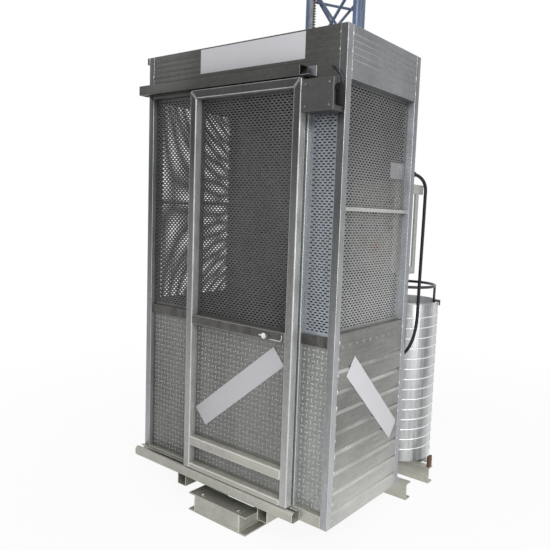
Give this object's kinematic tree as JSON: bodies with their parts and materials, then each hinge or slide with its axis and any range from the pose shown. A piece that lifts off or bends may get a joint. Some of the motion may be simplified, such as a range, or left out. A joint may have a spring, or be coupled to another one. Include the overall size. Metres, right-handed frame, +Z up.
{
  "type": "material hoist",
  "caption": "Rack and pinion hoist: a perforated galvanised car with a sliding door climbs a triangular lattice mast on a channel base beside a round cable drum.",
  "frame": {"origin": "centre of the base's four anchor holes, on the ground", "axes": "+Z up along the mast, -Y out of the car's door side, +X to the right as seen from the door side"},
  "size_m": [1.4037, 1.5377, 3.1279],
  "materials": {
    "galvanised": "satin hot-dip galvanised",
    "mast_steel": "dull galvanised",
    "sheet": "satin galvanised sheet",
    "mesh": "satin galvanised sheet",
    "door_steel": "satin galvanised",
    "gear_steel": "machined and greased",
    "drum_steel": "bright galvanised sheet",
    "bright_steel": "bright plated",
    "chrome": "polished",
    "collar_steel": "plated",
    "roller_iron": "turned",
    "black_paint": "satin paint",
    "cabinet_paint": "satin paint",
    "drive_paint": "satin paint",
    "black_plastic": "moulded",
    "grey_plastic": "moulded",
    "red_plastic": "moulded",
    "green_plastic": "moulded",
    "cable_sheath": "matt sheath",
    "rubber": "matt",
    "brown_wood": "oiled"
  },
  "bodies": {
    "base": {"long_channels": "galvanised", "front_plate": "galvanised", "cross_channels": "galvanised", "link_channels": "galvanised", "buffers": "rubber", "mast_plate": "galvanised", "mast_lower": "mast_steel", "mast_upper": "mast_steel", "mast_bolts": "galvanised", "racks": "gear_steel", "cable_drum": "drum_steel", "drum_seam": "drum_steel", "guide_ring": "black_paint", "stop_block": "brown_wood"},
    "car": {"floor_bearers": "galvanised", "floor_frame": "galvanised", "headers": "galvanised", "waist_rails": "galvanised", "lock_box": "galvanised", "roller_axles": "galvanised", "corner_posts": "galvanised", "floor_plate": "sheet", "roof_sheet": "sheet", "lower_panels": "sheet", "rear_panel": "sheet", "front_treads": "sheet", "side_meshes": "mesh", "front_meshes": "mesh", "front_jambs": "door_steel", "top_track": "door_steel", "bottom_track": "door_steel", "track_bracket": "bright_steel", "limit_switch": "black_plastic", "switch_lead": "cable_sheath", "control_cabinet": "cabinet_paint", "button_collars": "collar_steel", "cable_bracket": "cabinet_paint", "cable_glands": "black_plastic", "junction_box": "grey_plastic", "supply_cable": "cable_sheath", "drive_rails": "mast_steel", "drive_plates": "mast_steel", "gearbox": "drive_paint", "motor": "drive_paint", "safety_gear": "drive_paint"},
    "door": {"door_frame": "door_steel", "door_panels": "mesh", "door_fittings": "door_steel"},
    "drive_pinion": {"drive_pinion": "gear_steel"},
    "safety_pinion": {"safety_pinion": "gear_steel"},
    "roller_low_left": {"roller_low_left": "roller_iron"},
    "roller_low_right": {"roller_low_right": "roller_iron"},
    "roller_high_left": {"roller_high_left": "roller_iron"},
    "roller_high_right": {"roller_high_right": "roller_iron"},
    "stop_button": {"stop_button": "red_plastic"},
    "up_button": {"up_button": "green_plastic"},
    "down_button": {"down_button": "black_plastic"},
    "hanger_wheels_left": {"hanger_wheels_left": "black_plastic"},
    "hanger_wheels_right": {"hanger_wheels_right": "black_plastic"},
    "latch_handle": {"latch_handle": "chrome"}
  },
  "joints": [
    {"name": "car_lift", "type": "slide", "parent": "base", "child": "car", "axis": [0, 0, 1], "range_m": [0, 0.75]},
    {"name": "door_slide", "type": "slide", "parent": "car", "child": "door", "axis": [-1, 0, 0], "range_m": [0, 0.6]},
    {"name": "latch_turn", "type": "hinge", "parent": "door", "child": "latch_handle", "pos_m": [0.319, -1.052, 1.06], "axis": [0, 1, 0], "range_deg": [0, 60]},
    {"name": "hanger_left_roll", "type": "hinge", "parent": "door", "child": "hanger_wheels_left", "pos_m": [-0.061, -1.03, 2.2803], "axis": [0, -1, 0], "range_deg": [-5, 1914.9]},
    {"name": "hanger_right_roll", "type": "hinge", "parent": "door", "child": "hanger_wheels_right", "pos_m": [0.392, -1.03, 2.2803], "axis": [0, -1, 0], "range_deg": [-5, 1914.9]},
    {"name": "drive_pinion_turn", "type": "hinge", "parent": "car", "child": "drive_pinion", "pos_m": [-0.088, -0.232, 1.21156], "axis": [0, -1, 0], "range_deg": [-5, 1150.9]},
    {"name": "safety_pinion_turn", "type": "hinge", "parent": "car", "child": "safety_pinion", "pos_m": [-0.088, -0.232, 0.7089], "axis": [0, -1, 0], "range_deg": [-5, 1150.9]},
    {"name": "roller_low_left_roll", "type": "hinge", "parent": "car", "child": "roller_low_left", "pos_m": [-0.2293, -0.215, 0.42], "axis": [0, 1, 0], "range_deg": [-5, 1437.4]},
    {"name": "roller_high_left_roll", "type": "hinge", "parent": "car", "child": "roller_high_left", "pos_m": [-0.2293, -0.215, 2.05], "axis": [0, 1, 0], "range_deg": [-5, 1437.4]},
    {"name": "roller_low_right_roll", "type": "hinge", "parent": "car", "child": "roller_low_right", "pos_m": [0.2293, -0.215, 0.42], "axis": [0, -1, 0], "range_deg": [-5, 1437.4]},
    {"name": "roller_high_right_roll", "type": "hinge", "parent": "car", "child": "roller_high_right", "pos_m": [0.2293, -0.215, 2.05], "axis": [0, -1, 0], "range_deg": [-5, 1437.4]},
    {"name": "stop_press", "type": "slide", "parent": "car", "child": "stop_button", "axis": [0, 1, 0], "range_m": [0, 0.004], "stiffness_N_per_m": 300},
    {"name": "up_press", "type": "slide", "parent": "car", "child": "up_button", "axis": [0, 1, 0], "range_m": [0, 0.004], "stiffness_N_per_m": 300},
    {"name": "down_press", "type": "slide", "parent": "car", "child": "down_button", "axis": [0, 1, 0], "range_m": [0, 0.004], "stiffness_N_per_m": 300}
  ],
  "couplings": [
    {"joint": "hanger_left_roll", "follows": "door_slide", "rad_per_m": 55.556},
    {"joint": "hanger_right_roll", "follows": "door_slide", "rad_per_m": 55.556},
    {"joint": "drive_pinion_turn", "follows": "car_lift", "rad_per_m": 26.667},
    {"joint": "safety_pinion_turn", "follows": "car_lift", "rad_per_m": 26.667},
    {"joint": "roller_low_left_roll", "follows": "car_lift", "rad_per_m": 33.333},
    {"joint": "roller_high_left_roll", "follows": "car_lift", "rad_per_m": 33.333},
    {"joint": "roller_low_right_roll", "follows": "car_lift", "rad_per_m": 33.333},
    {"joint": "roller_high_right_roll", "follows": "car_lift", "rad_per_m": 33.333}
  ]
}
